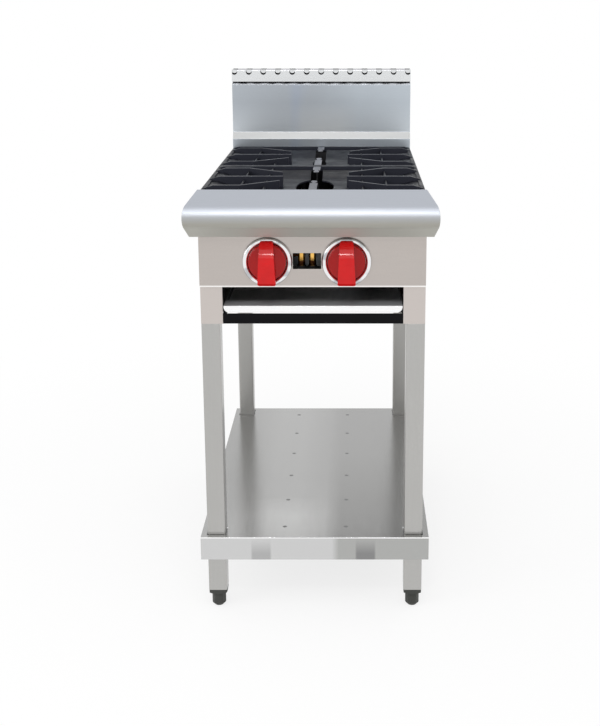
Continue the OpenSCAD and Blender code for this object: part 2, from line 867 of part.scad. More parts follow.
// The mixing tube runs back from the injector, turns to the middle and rises to the bowl
module burner(x, y) {
  side = x < 0 ? -1 : 1;
  run = abs(x);
  rise_d = mixer_d + 4;
  low = knob_z - rise_d / 2;
  color(iron) difference() {
    union() {
      rod_y(x, knob_z, mouth_y, y, mixer_d);
      translate([x, mouth_y, knob_z]) rotate([-90, 0, 0]) cylinder(d1 = mouth_d, d2 = mixer_d, h = 14);
      rod_z(x, y, low, low + rise_d, rise_d);
      at_side(side) rod_x(y, knob_z, 0, run, mixer_d + 2);
      rod_z(0, y, low, burner_z, rise_d);
      rod_z(0, y, burner_z, burner_z + burner_h, burner_d);
    }
    rod_y(x, knob_z, mouth_y - 1, y, mixer_bore);
    at_side(side) rod_x(y, knob_z, 0, run, mixer_bore + 1);
    rod_z(0, y, knob_z, burner_z + burner_h + 1, mixer_bore + 2);
    rod_z(0, y, burner_z + 5, burner_z + burner_h + 1, burner_d - 8);
  }
}

module burner_cap(y) {
  z = burner_z + burner_h;
  port = 2.6;
  color(iron) translate([0, y, z]) difference() {
    union() {
      translate([0, 0, -4]) cylinder(d = burner_d - 9, h = 4);
      rotate_extrude() polygon([
        [0, 0], [cap_d / 2, 0], [cap_d / 2, cap_h - 6], [cap_d / 2 - 3, cap_h - 3],
        [cap_d / 4, cap_h - 1], [0, cap_h]
      ]);
    }
    translate([0, 0, -5]) cylinder(d = burner_d - 17, h = 5 + cap_h - 6);
    for (i = [0 : port_count - 1]) rotate(i * 360 / port_count)
      translate([cap_d / 4, 0, 5]) rotate([0, 90, 0]) cylinder(d = port, h = cap_d, $fn = 16);
  }
}

// A flat length of the strip, in plan
module strip_span(w, y0, y1) {
  translate([-w / 2, min(y0, y1)]) square([w, abs(y1 - y0)]);
}

// Plan of a light strip, from its plain far end to the lobe near the burner
module strip_plan(far, near) {
  toward = sign(near - far);
  r = lobe_w / 2;
  lobe = near - toward * lobe_l;
  waist = lobe - toward * waist_l;
  strip_span(strip_w, far, waist);
  strip_span(waist_w, waist - toward, lobe + toward * r);
  strip_span(lobe_w, lobe + toward * r, near - toward * r);
  translate([0, lobe + toward * r]) circle(r);
  translate([0, near - toward * r]) circle(r);
}

// The strip lies in the slot of the grate, on a post of the carrier
module light_strip(far, near) {
  post_y = far + sign(near - far) * strip_post;
  post_w = 4;
  translate([0, 0, strip_top - sheet_t]) linear_extrude(sheet_t) strip_plan(far, near);
  box([-post_w / 2, post_y - carrier_t / 2, burner_z],
      [post_w / 2, post_y + carrier_t / 2, strip_top - sheet_t / 2]);
}

module burner_carrier() {
  z0 = burner_z - carrier_t;
  y0 = rail_w + sheet_t;
  y1 = riser_y - rail_w;
  slot_end = bar_w + strip_end;
  color(bright) difference() {
    union() {
      box([-carrier_w / 2, y0, z0], [carrier_w / 2, y1, burner_z]);
      box([-carrier_w / 2, y0, burner_z], [carrier_w / 2, y0 + carrier_t, seat_z - 2 * sheet_t]);
      box([-carrier_w / 2, y1 - carrier_t, burner_z], [carrier_w / 2, y1, seat_z - 2 * sheet_t]);
      for (i = [0, 1]) {
        light_strip(grate_y0s[i] + slot_end, burner_ys[i] - strip_clear_front);
        light_strip(grate_y0s[i] + grate_d - slot_end, burner_ys[i] + strip_clear_back);
      }
    }
    for (y = burner_ys) rod_z(0, y, z0 - 1, burner_z + 1, mixer_d + 4.4);
  }
}

module pilot_valve(x) {
  z1 = boss_z + pilot_h;
  color(brass) difference() {
    union() {
      rod_z(x, manifold_y, boss_z, z1, pilot_d, 6);
      rod_y(x, boss_z + pilot_h / 2, manifold_y, manifold_y + pilot_d / 2 + pilot_nose, 8);
    }
    rod_z(x, manifold_y, boss_z + 8, z1 + 1, pilot_stem_d + 2 * stem_fit);
    rod_z(x, manifold_y, boss_z - 1, boss_z + 9, 3);
    rod_y(x, boss_z + pilot_h / 2, manifold_y + 3, manifold_y + 30, pilot_tube_d - 2);
  }
}

module pilot_screw(x) {
  z1 = boss_z + pilot_h;
  color(brass) difference() {
    union() {
      rod_z(x, manifold_y, z1 - 9, z1, pilot_stem_d);
      rod_z(x, manifold_y, z1, z1 + 10, 10);
    }
    box([x - 6, manifold_y - 0.8, z1 + 8], [x + 6, manifold_y + 0.8, z1 + 11]);
  }
}

// A pipe that runs through the given points, parallel to the axes
module pipe_run(points, d) {
  for (i = [0 : len(points) - 2]) {
    p = points[i];
    v = points[i + 1] - p;
    translate(p) rotate([0, acos(v[2] / norm(v)), atan2(v[1], v[0])]) cylinder(d = d, h = norm(v));
  }
  for (i = [1 : 1 : len(points) - 2]) translate(points[i]) sphere(d = d + 0.4);
}

pilot_exit_y = manifold_y + pilot_d / 2 + pilot_nose;
pilot_exit_z = boss_z + pilot_h / 2;
pilot_base_z = burner_z - carrier_t;

module pilot_tube_front() {
  x = pilot_xs[0];
  y = burner_ys[0];
  turn_y = pilot_exit_y + 18;
  high = knob_z + mixer_d / 2 + 18;
  color(copper) pipe_run([
    [x, pilot_exit_y, pilot_exit_z], [x, turn_y, pilot_exit_z], [-pilot_x, turn_y, pilot_exit_z],
    [-pilot_x, turn_y, high], [-pilot_x, y, high], [-pilot_x, y, pilot_base_z]
  ], pilot_tube_d);
}

module pilot_tube_rear() {
  x = pilot_xs[1];
  y = burner_ys[1];
  turn_y = pilot_exit_y + 30;
  lane = -pilot_x + 14;
  high = knob_z + mixer_d / 2 + 12;
  color(copper) pipe_run([
    [x, pilot_exit_y, pilot_exit_z], [x, turn_y, pilot_exit_z], [x, turn_y, high],
    [lane, turn_y, high], [lane, y, high], [-pilot_x, y, high], [-pilot_x, y, pilot_base_z]
  ], pilot_tube_d);
}

module pilot_burner(y) {
  top = burner_z + burner_h + 8;
  color(steel) difference() {
    union() {
      box([-pilot_x - 7, y - 7, pilot_base_z], [-carrier_w / 2, y + 7, burner_z]);
      rod_z(-pilot_x, y, burner_z, top, 9);
    }
    rod_z(-pilot_x, y, pilot_base_z - 1, top - 4, 4);
    rod_x(y, top - 4, -pilot_x, -pilot_x + 8, 2.5);
  }
}

// Drip tray

module drip_tray() {
  y0 = tray_t;
  h = tray_front_h - tray_t;
  color(dark) difference() {
    box([-tray_half, y0, tray_z], [tray_half, tray_l, tray_z + h]);
    box([-tray_half + tray_t, y0 + tray_t, tray_z + tray_t],
        [tray_half - tray_t, tray_l - tray_t, tray_z + h + 1]);
  }
}

module tray_front() {
  z1 = tray_z + tray_front_h;
  r = tray_front_r;
  color(bright) {
    difference() {
      box([-tray_half, 0, tray_z], [tray_half, tray_t, z1]);
      for (s = [-1, 1]) at_side(s) difference() {
        box([tray_half - r, -1, tray_z - 1], [tray_half + 1, tray_t + 1, tray_z + r]);
        rod_y(tray_half - r, tray_z + r, -1, tray_t + 1, 2 * r);
      }
    }
    box([-tray_half, tray_t, z1 - tray_t], [tray_half, tray_strip, z1]);
  }
}

module tray_runner(side) {
  low = base_z + frame_h;
  y0 = post_fold + 2;
  y1 = tray_l + 20;
  color(steel) at_side(side) {
    box([post_in - runner_in, y0, low], [inner_w, y1, low + runner_t]);
    box([inner_w - runner_t, y0, low + runner_t], [inner_w, y1, low + runner_h]);
  }
}

// Grates

module ellipse(rx, ry) {
  polygon([for (a = [0 : 10 : 350]) [rx * cos(a), ry * sin(a)]]);
}

module prong_plan() {
  half = grate_w / 2 - 2;
  translate([tip_x, -prong_w / 2]) square([half - tip_x, prong_w]);
  for (s = [-1, 1]) {
    w = s * prong_w / 2;
    polygon([
      [half, s * outer_y - w], [half, s * outer_y + w], [bend_x, s * outer_y + w],
      [outer_tip_x, s * outer_tip_y + w], [outer_tip_x, s * outer_tip_y - w], [bend_x, s * outer_y - w]
    ]);
  }
}

// The sunken pan of a grate, a box with sloping sides below the rim and upright sides above it
module pan_space(rim_z, top_z) {
  x1 = grate_w / 2 - pan_edge_x;
  y1 = grate_d / 2 - bar_w - pan_edge_y;
  low = rim_z - pan_h - grate_floor;
  intersection() {
    across(-x1, x1) polygon([
      [-y1, top_z], [-y1, rim_z], [pan_slope_y - y1, low], [y1 - pan_slope_y, low], [y1, rim_z], [y1, top_z]
    ]);
    translate([0, y1, 0]) rotate([90, 0, 0]) linear_extrude(2 * y1) polygon([
      [-x1, top_z], [-x1, rim_z], [pan_slope_x - x1, low], [x1 - pan_slope_x, low], [x1, rim_z], [x1, top_z]
    ]);
  }
}

module grate(y0, open_x, open_y) {
  half = grate_w / 2;
  depth = grate_d / 2;
  color(iron) translate([0, y0 + depth, 0]) difference() {
    union() {
      // Rim, side rails and pan
      difference() {
        union() {
          box([-half, -depth, seat_z], [half, depth, seat_z + side_rail_h]);
          pan_space(seat_z, seat_z + 1);
        }
        box([-half + side_rail_w, -depth + bar_w, seat_z + grate_floor],
            [half - side_rail_w, depth - bar_w, cook_h]);
        pan_space(seat_z + grate_floor, cook_h);
      }
      // Front and rear bars
      for (s = [-1, 1]) {
        y = s * (depth - bar_w / 2);
        box([-half + 3, y - bar_w / 2, seat_z], [half - 3, y + bar_w / 2, seat_z + rim_h]);
      }
      // Prongs and ribs stand on the pan
      intersection() {
        for (s = [-1, 1]) at_side(s) {
          translate([0, 0, pan_z]) linear_extrude(cook_h - pan_z) prong_plan();
          for (x = [bend_x, bend_x - rib_pitch])
            box([x, 1 - depth, pan_z], [x + rib_w, depth - 1, seat_z + rib_h]);
        }
        union() {
          box([-half, -depth, seat_z + 0.5], [half, depth, cook_h]);
          pan_space(seat_z, seat_z + 1);
        }
      }
    }
    translate([0, 0, pan_z - 1]) linear_extrude(cook_h - pan_z) ellipse(open_x, open_y);
    box([-slot_w / 2, -depth + bar_w, pan_z - 1], [slot_w / 2, depth - bar_w, cook_h + 1]);
    // Sloping outer ends of the prongs
    for (s = [-1, 1]) at_side(s) translate([0, depth + 1, 0]) rotate([90, 0, 0])
      linear_extrude(grate_d + 2) polygon([
        [half - slope_l, cook_h], [half + 1, seat_z + side_rail_h - 0.3],
        [half + 1, cook_h + 1], [half - slope_l, cook_h + 1]
      ]);
  }
}

// Flue riser

// Inner line of the riser front, from its foot up to its leaning fold
riser_inner = [
  [riser_y + sheet_t, seat_z], [riser_y + sheet_t, foot_top - 0.3],
  [main_y + sheet_t, bevel_top - 0.3], [main_y + sheet_t, main_top - fold_h - 0.4],
  [main_y + fold_in + 0.3, main_top - sheet_t], [flange_y, main_top - sheet_t]
];

module riser_front() {
  outer = [
    [flange_y, main_top], [main_y + fold_in, main_top], [main_y, main_top - fold_h],
    [main_y, bevel_top], [riser_y, foot_top], [riser_y, seat_z]
  ];
  color(steel) across(-half_w, half_w) polygon(concat(riser_inner, outer));
}

module riser_shell() {
  t = sheet_t;
  color(steel) {
    difference() {
      box([-half_w, body_d - t, seat_z], [half_w, body_d, riser_top - t]);
      for (x = riser_screw_xs) rod_y(x, riser_screw_z, body_d - 5, body_d + 1, back_screw_d + bolt_fit);
    }
    for (s = [-1, 1]) at_side(s) across(inner_w, half_w) polygon(concat(riser_inner, [
      [flange_y, lip_z], [step_y, lip_z], [step_y, riser_top - t],
      [body_d - t, riser_top - t], [body_d - t, seat_z]
    ]));
  }
}

notch_first = half_w - notch_edge;
notch_xs = [for (i = [0 : notch_count - 1]) notch_first * (2 * i / (notch_count - 1) - 1)];

module riser_cap() {
  t = sheet_t;
  slot_y = body_d - notch_back;
  tongue_z = notch_z + baffle_rise;
  r = 3;
  color(bright) difference() {
    union() {
      difference() {
        across(-half_w, half_w) polygon(concat(
          [[lip_y, lip_z]],
          [for (a = [180 : -15 : 90]) [lip_y + r, riser_top - r] + r * [cos(a), sin(a)]],
          [[body_d, riser_top], [body_d, riser_top - t], [lip_y + r, riser_top - t],
           [lip_y + t, riser_top - r], [lip_y + t, lip_z]]
        ));
        for (x = notch_xs) {
          box([x - notch_w / 2, lip_y - 1, notch_z], [x + notch_w / 2, slot_y, riser_top + 1]);
          rod_y(x, notch_z, lip_y - 1, lip_y + t + 1, notch_w);
        }
      }
      for (s = [-1, 1]) at_side(s)
        box([inner_w, lip_y + t, lip_z], [half_w, step_y, riser_top - t]);
      box([-inner_w, body_d - 2 * t, riser_top - 24], [inner_w, body_d - t, riser_top - t]);
      // Baffle behind the notches, with a round tongue behind each one
      box([-inner_w, baffle_y, tongue_z], [inner_w, baffle_y + t, riser_top - t / 2]);
      intersection() {
        for (x = notch_xs) rod_y(x, tongue_z, baffle_y, baffle_y + t, notch_w);
        box([-half_w, baffle_y, lip_z], [half_w, baffle_y + t, riser_top]);
      }
    }
    for (x = riser_screw_xs) rod_y(x, riser_screw_z, body_d - 5, body_d + 1, back_screw_d + bolt_fit);
  }
}

place() leg(-1, leg_ys[0]);  // leg_front_left
place() leg(1, leg_ys[0]);  // leg_front_right
place() leg(-1, leg_ys[1]);  // leg_back_left
place() leg(1, leg_ys[1]);  // leg_back_right
place() leg_sockets();
place() leg_bolts();
place() leg_inserts();
place() foot(-1, leg_ys[0]);  // foot_front_left
place() foot(1, leg_ys[0]);  // foot_front_right
place() foot(-1, leg_ys[1]);  // foot_back_left
place() foot(1, leg_ys[1]);  // foot_back_right
place() undershelf();
place() shelf_stiffener();
place() shelf_clips();
place() base_frame();
place() body_side(-1);  // body_side_left
place() body_side(1);  // body_side_right
place() body_back();
place() body_screws();
place() rail_front();
place() rail_middle();
place() rail_rear();
place() control_panel();
place() front_ledge();
place() ledge_end(-1);  // ledge_end_left
place() ledge_end(1);  // ledge_end_right
place() riser_front();
place() riser_shell();
place() riser_cap();
place() manifold_pipe();
place() gas_inlet_pipe();
place() gas_tap(knob_xs[0]);  // gas_tap_left
place() gas_tap(knob_xs[1]);  // gas_tap_right
place() tap_stem(knob_xs[0]);  // tap_stem_left
place() tap_stem(knob_xs[1]);  // tap_stem_right
place() injector(knob_xs[0]);  // injector_left
place() injector(knob_xs[1]);  // injector_right
place() burner(knob_xs[0], burner_ys[0]);  // burner_front
place() burner(knob_xs[1], burner_ys[1]);  // burner_rear
place() burner_cap(burner_ys[0]);  // burner_cap_front
place() burner_cap(burner_ys[1]);  // burner_cap_rear
place() burner_carrier();
place() pilot_valve(pilot_xs[0]);  // pilot_valve_left
place() pilot_valve(pilot_xs[1]);  // pilot_valve_right
place() pilot_screw(pilot_xs[0]);  // pilot_screw_left
place() pilot_screw(pilot_xs[1]);  // pilot_screw_right
place() pilot_tube_front();
place() pilot_tube_rear();
place() pilot_burner(burner_ys[0]);  // pilot_burner_front
place() pilot_burner(burner_ys[1]);  // pilot_burner_rear
place() knob(knob_xs[0]);  // knob_left
place() knob(knob_xs[1]);  // knob_right
place() bezel(knob_xs[0]);  // bezel_left
place() bezel(knob_xs[1]);  // bezel_right
place() drip_tray();
place() tray_front();
place() tray_runner(-1);  // tray_runner_left
place() tray_runner(1);  // tray_runner_right
place() grate(grate_y0s[0], opening_x, opening_y);  // grate_front
place() grate(grate_y0s[1], rear_opening_x, rear_opening_y);  // grate_rear
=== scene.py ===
import json
import math

import bpy
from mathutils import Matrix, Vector


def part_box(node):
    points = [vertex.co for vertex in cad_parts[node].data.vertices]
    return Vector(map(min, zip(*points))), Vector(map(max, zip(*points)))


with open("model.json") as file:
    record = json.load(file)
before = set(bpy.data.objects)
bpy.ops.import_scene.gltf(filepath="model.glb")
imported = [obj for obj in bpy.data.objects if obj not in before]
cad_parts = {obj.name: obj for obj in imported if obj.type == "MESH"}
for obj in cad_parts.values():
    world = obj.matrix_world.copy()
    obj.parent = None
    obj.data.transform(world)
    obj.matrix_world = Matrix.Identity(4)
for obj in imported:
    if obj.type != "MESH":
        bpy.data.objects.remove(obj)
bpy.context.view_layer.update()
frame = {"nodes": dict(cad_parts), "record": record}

nodes = frame["nodes"]

# Camera, as solved from the outline of the object in the photograph.
# Distances are in metres from the plane of the front posts and the middle of the body.
PHOTO_H = 726
SENSOR = 36.0
CAMERA_SIDE = 0.080
CAMERA_AWAY = 2.217
CAMERA_HEIGHT = 1.266
CAMERA_DOWN = math.radians(12.6)
FOCUS_PX = 1146.8
SHIFT = (-0.073, -0.15)

# How far the camera sees, in metres
FARTHEST = 50

# Soft rectangular lights: name, place, target, width and height, and power in watts
LIGHTS = [
    ("key", (0.0, -2.35, 3.17), (0, -0.42, 0.87), (1.8, 3.2), 19),
    ("glint", (-0.13, -2.65, 2.80), (-0.1, -0.42, 0.80), (0.40, 0.35), 9),
    ("left", (-2.4, -1.6, 1.8), (0, 0, 0.6), (1.2, 1.6), 10),
]

# Level at which the world lights the object
WORLD_LEVEL = 0.6

# Floor: its side, its paint, the share of the shadow that it shows, the light that
# lifts it to white outside the shadow, and how far out it turns plain white
FLOOR_SIDE = 16
FLOOR_PAINT = 0.86
SHADOW_KEPT = 0.35
FLOOR_LIFT = 0.30
SHADOW_RADIUS = 1.8

# How far the edges of each material's sheets or castings are rounded, in metres
EDGE = {
    "leg_steel": 0.0006,
    "dark_steel": 0.0004,
    "zinc_steel": 0.0003,
    "grey_plastic": 0.0012,
    "shelf_steel": 0.0012,
    "body_steel": 0.0004,
    "bright_steel": 0.0003,
    "panel_steel": 0.0006,
    "ledge_steel": 0.0005,
    "tray_steel": 0.0004,
    "gas_pipe": 0.0005,
    "brass": 0.0004,
    "burner_iron": 0.0010,
    "strip_steel": 0.0004,
    "copper": 0.0,
    "red_knob": 0.0022,
    "bezel_chrome": 0.0008,
    "grate_iron": 0.0014,
}
EDGE_STEPS = 3

# Folds shallower than this are drawn as smooth curves, in degrees
SMOOTH_BELOW = 32
SMOOTH_BELOW_ON = {"body_steel": 18}

# Points closer than this are one point, in metres, and facets that lie within this angle
# of each other are one face, in degrees
SAME_POINT = 1e-6
SAME_FACE = 0.3

# Noise lies mostly between these values
NOISE_LOW, NOISE_HIGH = 0.3, 0.7

# Numbers of the sockets of a Mix node, whose names are the same for colours and for numbers
MIX_SHARE = 0
COLOR_A, COLOR_B, COLOR_OUT = 6, 7, 2
NUMBER_A, NUMBER_B, NUMBER_OUT = 2, 3, 0

# Stretch of the grain of brushed steel along each axis
ALONG_X, ALONG_Y, ALONG_Z = (0.03, 1, 1), (1, 0.03, 1), (1, 1, 0.03)

# Soot and painted shade inside the flue duct
SOOT_AND_SHADE = (0.02, 0.02, 0.022)


# Camera, light and floor

def front_plane():
    """Depth of the plane of the front posts."""
    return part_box("body_side_left")[0].y


def make_camera():
    data = bpy.data.cameras.new("camera")
    data.sensor_width = SENSOR
    data.lens = FOCUS_PX / PHOTO_H * SENSOR
    data.shift_x, data.shift_y = SHIFT
    data.clip_end = FARTHEST
    camera = bpy.data.objects.new("camera", data)
    camera.location = (CAMERA_SIDE, front_plane() - CAMERA_AWAY, CAMERA_HEIGHT)
    camera.rotation_euler = (math.pi / 2 - CAMERA_DOWN, 0, 0)
    bpy.context.scene.collection.objects.link(camera)
    bpy.context.scene.camera = camera


def aim(obj, target):
    obj.rotation_euler = (Vector(target) - obj.location).to_track_quat("-Z", "Y").to_euler()


def area_light(name, place, target, size, power):
    data = bpy.data.lights.new(name, "AREA")
    data.shape = "RECTANGLE"
    data.size, data.size_y = size
    data.energy = power
    light = bpy.data.objects.new(name, data)
    light.location = place
    aim(light, target)
    bpy.context.scene.collection.objects.link(light)


def seen_directly(tree):
    """Output that is 1 for the camera's rays and for rays that metal or glass sends on."""
    path = tree.nodes.new("ShaderNodeLightPath")
    result = path.outputs["Is Camera Ray"]
    for name in ("Is Glossy Ray", "Is Transmission Ray"):
        either = tree.nodes.new("ShaderNodeMath")
        either.operation = "MAXIMUM"
        tree.links.new(result, either.inputs[0])
        tree.links.new(path.outputs[name], either.inputs[1])
        result = either.outputs[0]
    return result


def make_world():
    """Lights the object plainly, and shows white to the camera and in reflections."""
    world = bpy.data.worlds.new("studio")
    bpy.context.scene.world = world
    world.use_nodes = True
    tree = world.node_tree
    tree.nodes.clear()
    seen = seen_directly(tree)
    lit = tree.nodes.new("ShaderNodeBackground")
    lit.inputs["Strength"].default_value = WORLD_LEVEL
    white = tree.nodes.new("ShaderNodeBackground")
    mix = tree.nodes.new("ShaderNodeMixShader")
    out = tree.nodes.new("ShaderNodeOutputWorld")
    for background in (lit, white):
        background.inputs["Color"].default_value = (1, 1, 1, 1)
    tree.links.new(seen, mix.inputs[0])
    tree.links.new(lit.outputs[0], mix.inputs[1])
    tree.links.new(white.outputs[0], mix.inputs[2])
    tree.links.new(mix.outputs[0], out.inputs["Surface"])


def near_object(tree):
    """Output that is 1 on the floor under the object and fades to 0 at the shadow radius."""
    place = tree.nodes.new("ShaderNodeTexCoord")
    turn = tree.nodes.new("ShaderNodeMapping")
    turn.inputs["Scale"].default_value = [1 / SHADOW_RADIUS] * 3
    fade = tree.nodes.new("ShaderNodeTexGradient")
    fade.gradient_type = "SPHERICAL"
    curve = tree.nodes.new("ShaderNodeMapRange")
    curve.interpolation_type = "SMOOTHSTEP"
    tree.links.new(place.outputs["Object"], turn.inputs["Vector"])
    tree.links.new(turn.outputs["Vector"], fade.inputs["Vector"])
    tree.links.new(fade.outputs["Fac"], curve.inputs["Value"])
    return curve.outputs["Result"]


def floor_paint():
    """White paint that shows part of the object's shadow, and plain white further out."""
    material = bpy.data.materials.new("floor")
    material.use_nodes = True
    tree = material.node_tree
    tree.nodes.clear()
    paint = tree.nodes.new("ShaderNodeBsdfDiffuse")
    paint.inputs["Color"].default_value = (FLOOR_PAINT, FLOOR_PAINT, FLOOR_PAINT, 1)
    white = tree.nodes.new("ShaderNodeEmission")
    seen = seen_directly(tree)
    glow = tree.nodes.new("ShaderNodeMath")
    glow.operation = "MULTIPLY"
    glow.inputs[1].default_value = FLOOR_LIFT
    lifted = tree.nodes.new("ShaderNodeEmission")
    shaded = tree.nodes.new("ShaderNodeAddShader")
    tree.links.new(seen, glow.inputs[0])
    tree.links.new(glow.outputs[0], lifted.inputs["Strength"])
    tree.links.new(paint.outputs[0], shaded.inputs[0])
    tree.links.new(lifted.outputs[0], shaded.inputs[1])
    plain = tree.nodes.new("ShaderNodeMath")
    plain.operation = "MULTIPLY_ADD"
    plain.inputs[1].default_value = -SHADOW_KEPT
    plain.inputs[2].default_value = 1
    share = tree.nodes.new("ShaderNodeMath")
    share.operation = "MULTIPLY"
    mix = tree.nodes.new("ShaderNodeMixShader")
    out = tree.nodes.new("ShaderNodeOutputMaterial")
    tree.links.new(near_object(tree), plain.inputs[0])
    tree.links.new(seen, share.inputs[0])
    tree.links.new(plain.outputs[0], share.inputs[1])
    tree.links.new(share.outputs[0], mix.inputs[0])
    tree.links.new(shaded.outputs[0], mix.inputs[1])
    tree.links.new(white.outputs[0], mix.inputs[2])
    tree.links.new(mix.outputs[0], out.inputs["Surface"])
    return material


def make_floor():
    bpy.ops.mesh.primitive_plane_add(size=FLOOR_SIDE, location=(0, 0, 0))
    floor = bpy.context.object
    floor.name = "floor"
    floor.data.materials.append(floor_paint())


# Materials

class Finish:
    """A material with one shader and helpers that add procedural detail to it.

    A share is an output that goes from 0 to 1 over the surface.
    """

    def __init__(self, name, color, roughness, metallic=0.0, **sockets):
        self.name = name
        self.material = bpy.data.materials.new(name)
        self.material.use_nodes = True
        self.tree = self.material.node_tree
        self.shader = self.tree.nodes["Principled BSDF"]
        self.roughness = roughness
        self.shader.inputs["Base Color"].default_value = (*color, 1)
        self.shader.inputs["Roughness"].default_value = roughness
        self.shader.inputs["Metallic"].default_value = metallic
        for socket, value in sockets.items():
            self.shader.inputs[socket.replace("_", " ")].default_value = value
        self.place = self.node("ShaderNodeTexCoord").outputs["Object"]

    def node(self, kind, **values):
        made = self.tree.nodes.new(kind)
        for name, value in values.items():
            setattr(made, name, value)
        return made

    def put(self, value, socket):
        """Links or writes a value to a socket."""
        if isinstance(value, (int, float)):
            socket.default_value = value
        else:
            self.tree.links.new(value, socket)

    def axis(self, name, vector=None):
        """X, Y or Z of the place on the object, or of another vector."""
        split = self.node("ShaderNodeSeparateXYZ")
        self.tree.links.new(vector or self.place, split.inputs[0])
        return split.outputs[name]

    def slope(self):
        """1 on level faces, 0 on upright ones."""
        up = self.axis("Z", self.node("ShaderNodeNewGeometry").outputs["Normal"])
        return self.math("ABSOLUTE", up)

    def math(self, operation, a, b=0.0):
        made = self.node("ShaderNodeMath", operation=operation)
        self.put(a, made.inputs[0])
        self.put(b, made.inputs[1])
        return made.outputs[0]

    def noise(self, per_metre, stretch=(1, 1, 1), detail=3.0):
        """Noise with the given number of grains per metre, stretched along each axis."""
        turn = self.node("ShaderNodeMapping")
        turn.inputs["Scale"].default_value = [per_metre * s for s in stretch]
        made = self.node("ShaderNodeTexNoise")
        made.inputs["Scale"].default_value = 1.0
        made.inputs["Detail"].default_value = detail
        self.tree.links.new(self.place, turn.inputs["Vector"])
        self.tree.links.new(turn.outputs["Vector"], made.inputs["Vector"])
        return made.outputs["Fac"]

    def ranged(self, value, low, high, start=NOISE_LOW, end=NOISE_HIGH):
        """low where value is below start, high where it is above end, and a ramp between them."""
        made = self.node("ShaderNodeMapRange")
        made.inputs["From Min"].default_value = start
        made.inputs["From Max"].default_value = end
        made.inputs["To Min"].default_value = low
        made.inputs["To Max"].default_value = high
        self.tree.links.new(value, made.inputs["Value"])
        return made.outputs["Result"]

    def rise(self, value, start, end):
        """0 where value is below start, and 1 above end."""
        return self.ranged(value, 0.0, 1.0, start, end)

    def fall(self, value, start, end):
        """1 where value is below start, and 0 above end."""
        return self.ranged(value, 1.0, 0.0, start, end)

    def near(self, value, middle, reach, blur):
        """1 within reach of middle, fading to 0 over the blur."""
        away = self.math("ABSOLUTE", self.math("SUBTRACT", value, middle))
        return self.fall(away, reach, reach + blur)

    def between(self, value, low, high, blur=0.0001):
        return self.near(value, (low + high) / 2, (high - low) / 2, blur)

    def both(self, *shares):
        result = shares[0]
        for share in shares[1:]:
            result = self.math("MULTIPLY", result, share)
        return result

    def tint(self, share, other):
        """Turns towards another colour where share is 1."""
        mix = self.node("ShaderNodeMix", data_type="RGBA")
        base = self.shader.inputs["Base Color"]
        if base.is_linked:
            self.tree.links.new(base.links[0].from_socket, mix.inputs[COLOR_A])
        else:
            mix.inputs[COLOR_A].default_value = base.default_value
        mix.inputs[COLOR_B].default_value = (*other, 1)
        self.tree.links.new(share, mix.inputs[MIX_SHARE])
        self.tree.links.new(mix.outputs[COLOR_OUT], base)

    def vary_color(self, value, other, start=NOISE_LOW, end=NOISE_HIGH):
        """Turns towards another colour where value is high."""
        self.tint(self.rise(value, start, end), other)

    def vary_roughness(self, value, spread):
        """Makes the surface rougher by spread where value is high, and smoother where it is low."""
        rough = self.ranged(value, self.roughness - spread, self.roughness + spread)
        self.tree.links.new(rough, self.shader.inputs["Roughness"])

    def roughen(self, share, roughness):
        """Turns towards another roughness where share is 1."""
        mix = self.node("ShaderNodeMix", data_type="FLOAT")
        socket = self.shader.inputs["Roughness"]
        self.tree.links.new(socket.links[0].from_socket, mix.inputs[NUMBER_A])
        mix.inputs[NUMBER_B].default_value = roughness
        self.tree.links.new(share, mix.inputs[MIX_SHARE])
        self.tree.links.new(mix.outputs[NUMBER_OUT], socket)

    def bump(self, value, height):
        """Raises the surface by height metres where value is high."""
        made = self.node("ShaderNodeBump")
        made.inputs["Strength"].default_value = 1.0
        made.inputs["Distance"].default_value = height
        self.tree.links.new(value, made.inputs["Height"])
        self.tree.links.new(made.outputs["Normal"], self.shader.inputs["Normal"])


def shade(color, factor):
    return tuple(c * factor for c in color)


def satin_steel(name, color, roughness, grain, wear=1.0):
    """Satin sheet steel with a fine grain.

    grain has a small number along the brushing, and wear is the depth of its changes of tone.
    """
    line_depth, mottle_depth, smear_depth = 0.05, 0.06, 0.07
    steel = Finish(name, color, roughness, metallic=1.0)
    lines = steel.noise(per_metre=700, stretch=grain, detail=3)
    mottle = steel.noise(per_metre=240, detail=2)
    smears = steel.noise(per_metre=4.5, detail=3)
    steel.vary_color(lines, shade(color, 1 - line_depth * wear))
    steel.vary_color(mottle, shade(color, 1 - mottle_depth * wear), start=0.4)
    steel.vary_color(smears, shade(color, 1 - smear_depth * wear))
    steel.vary_roughness(lines, spread=0.04)
    steel.bump(lines, height=0.000002)
    return steel


def leg_steel():
    """The legs, the back ones slightly darker as painted shade."""
    front_tone, back_shade_tone = (0.51, 0.505, 0.49), (0.43, 0.425, 0.41)
    steel = satin_steel("leg_steel", front_tone, roughness=0.32, grain=ALONG_Z)
    # Painted shade: the back legs are darker
    steel.tint(steel.rise(steel.axis("Y"), start=0.0, end=0.1), back_shade_tone)
    return steel


def zinc_steel():
    return satin_steel("zinc_steel", (0.46, 0.46, 0.47), roughness=0.42, grain=ALONG_X)


